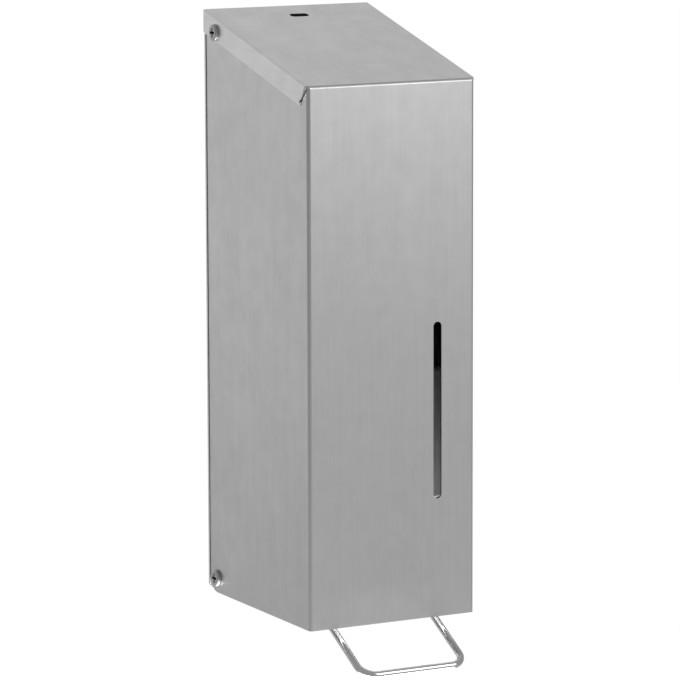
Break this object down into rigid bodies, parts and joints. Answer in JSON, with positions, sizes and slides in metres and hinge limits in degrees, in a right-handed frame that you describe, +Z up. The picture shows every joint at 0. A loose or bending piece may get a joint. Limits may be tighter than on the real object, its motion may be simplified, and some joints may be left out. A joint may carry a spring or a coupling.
{
  "type": "soap dispenser",
  "caption": "Wall-mounted stainless soap dispenser: tilting folded hood with sloping top, sight slot and key slot, wire push lever and push-up pump under a plastic reservoir.",
  "frame": {"origin": "middle of the four wall holes, on the back plate's wall face", "axes": "+Z up, +X to the right seen from the front, +Y into the wall, so the front faces -Y"},
  "size_m": [0.1088, 0.1525, 0.3566],
  "materials": {
    "hood_steel": "fine satin brushing running up and down, light fingerprints and soft mottling",
    "plate_steel": "plain rolled stainless sheet",
    "bright_wire": "polished round stainless wire",
    "screw_steel": "bright zinc or stainless pan screws, slightly dulled",
    "spring_steel": "drawn spring steel",
    "tank_plastic": "smoky see-through blow-moulded plastic with a pale film of soap in its lower part; the lid is milky",
    "pump_plastic": "white moulded acetal",
    "rocker_plastic": "black moulded acetal, fine spark texture",
    "seal_rubber": "soft nitrile",
    "valve_rubber": "clear silicone"
  },
  "bodies": {
    "back": {"back_plate": "plate_steel", "hinge_brackets": "plate_steel", "hinge_screws": "screw_steel", "hinge_nuts": "screw_steel", "hinge_washers": "pump_plastic", "latch_bracket": "plate_steel", "latch_pin": "screw_steel", "latch_spring": "spring_steel", "latch_rivets": "screw_steel", "pump_shelf": "plate_steel", "shelf_rivets": "screw_steel", "reservoir": "tank_plastic", "reservoir_lid": "tank_plastic", "pump_nut": "pump_plastic", "neck_seal": "seal_rubber", "pump_cylinder": "pump_plastic", "inlet_cage": "pump_plastic", "return_spring": "spring_steel"},
    "latch": {"latch_lever": "plate_steel"},
    "inlet_valve": {"inlet_ball": "screw_steel"},
    "plunger": {"plunger": "pump_plastic", "piston_seal": "seal_rubber", "nozzle": "pump_plastic", "outlet_valve": "valve_rubber"},
    "hood": {"hood_shell": "hood_steel", "keeper_bracket": "plate_steel", "keeper_screws": "screw_steel", "keeper_nuts": "screw_steel", "lever_bracket": "plate_steel", "bracket_studs": "screw_steel", "bracket_nuts": "screw_steel", "pivot_pin": "screw_steel", "pin_circlips": "spring_steel"},
    "lever": {"lever_wire": "bright_wire", "lever_rocker": "rocker_plastic", "lever_grub_screws": "spring_steel"}
  },
  "joints": [
    {"name": "hood_tilt", "type": "hinge", "parent": "back", "child": "hood", "pos_m": [0, -0.0105, -0.1565], "axis": [1, 0, 0], "range_deg": [0, 70]},
    {"name": "lever_press", "type": "hinge", "parent": "hood", "child": "lever", "pos_m": [0, -0.094, -0.148], "axis": [1, 0, 0], "range_deg": [0, 17], "stiffness_Nm_per_rad": 0.8, "springref_deg": -17.19},
    {"name": "pump_stroke", "type": "slide", "parent": "back", "child": "plunger", "axis": [0, 0, 1], "range_m": [0, 0.0102], "deforming": ["return_spring"]},
    {"name": "latch_tilt", "type": "hinge", "parent": "back", "child": "latch", "pos_m": [0, -0.008, 0.146], "axis": [-1, 0, 0], "range_deg": [0, 7]},
    {"name": "inlet_lift", "type": "slide", "parent": "back", "child": "inlet_valve", "axis": [0, 0, 1], "range_m": [0, 0.0011]}
  ],
  "couplings": [
    {"joint": "pump_stroke", "follows": "lever_press", "m_per_rad": 0.03425}
  ]
}
